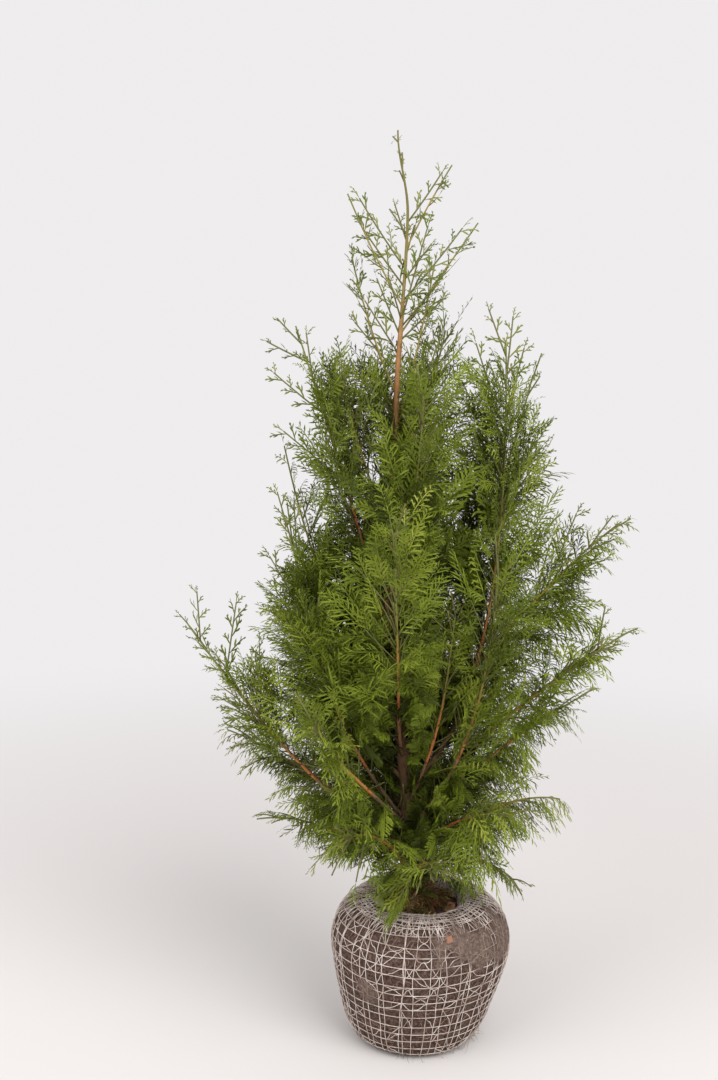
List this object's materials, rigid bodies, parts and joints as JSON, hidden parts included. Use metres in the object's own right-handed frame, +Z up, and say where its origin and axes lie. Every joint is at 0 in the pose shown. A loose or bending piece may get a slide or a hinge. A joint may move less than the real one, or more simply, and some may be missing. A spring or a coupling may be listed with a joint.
{
  "type": "root-balled thuja",
  "caption": "Young upright thuja with feathery flat sprays, one leading stem and side boughs, its root ball wrapped in netting.",
  "frame": {"origin": "middle of the root ball's flat underside, where the plant stands", "axes": "+Z up along the trunk, +X to the right and +Y to the back when the plant is seen from its front"},
  "size_m": [0.6882, 0.5009, 1.405],
  "materials": {
    "earth": "matte",
    "netting": "matte",
    "bark": "matte",
    "foliage": "matte"
  },
  "bodies": {
    "root": {"back_high": "foliage", "back_left": "foliage", "back_mid": "foliage", "back_right": "foliage", "bough_back_high": "bark", "bough_back_left": "bark", "bough_back_mid": "bark", "bough_back_right": "bark", "bough_front_high": "bark", "bough_front_inner": "bark", "bough_front_left": "bark", "bough_front_mid": "bark", "bough_front_right": "bark", "bough_left_arm": "bark", "bough_left_high": "bark", "bough_left_inner": "bark", "bough_left_mid": "bark", "bough_left_outer": "bark", "bough_left_skirt": "bark", "bough_right_arm": "bark", "bough_right_leader": "bark", "bough_right_low": "bark", "bough_right_outer": "bark", "bough_right_skirt": "bark", "bough_right_wing": "bark", "front_high": "foliage", "front_inner": "foliage", "front_left": "foliage", "front_mid": "foliage", "front_right": "foliage", "leader_1": "foliage", "leader_2": "foliage", "leader_3": "foliage", "leader_4": "foliage", "leader_5": "foliage", "leader_6": "foliage", "leader_7": "foliage", "left_arm": "foliage", "left_high": "foliage", "left_inner": "foliage", "left_low": "foliage", "left_mid": "foliage", "left_outer": "foliage", "left_skirt": "foliage", "low_back": "foliage", "low_back_left": "foliage", "low_back_right": "foliage", "low_front": "foliage", "low_front_left": "foliage", "low_front_right": "foliage", "low_right": "foliage", "net_band": "netting", "right_arm": "foliage", "right_leader": "foliage", "right_low": "foliage", "right_outer": "foliage", "right_skirt": "foliage", "right_wing": "foliage", "root_ball": "earth", "trunk": "bark"}
  },
  "joints": []
}
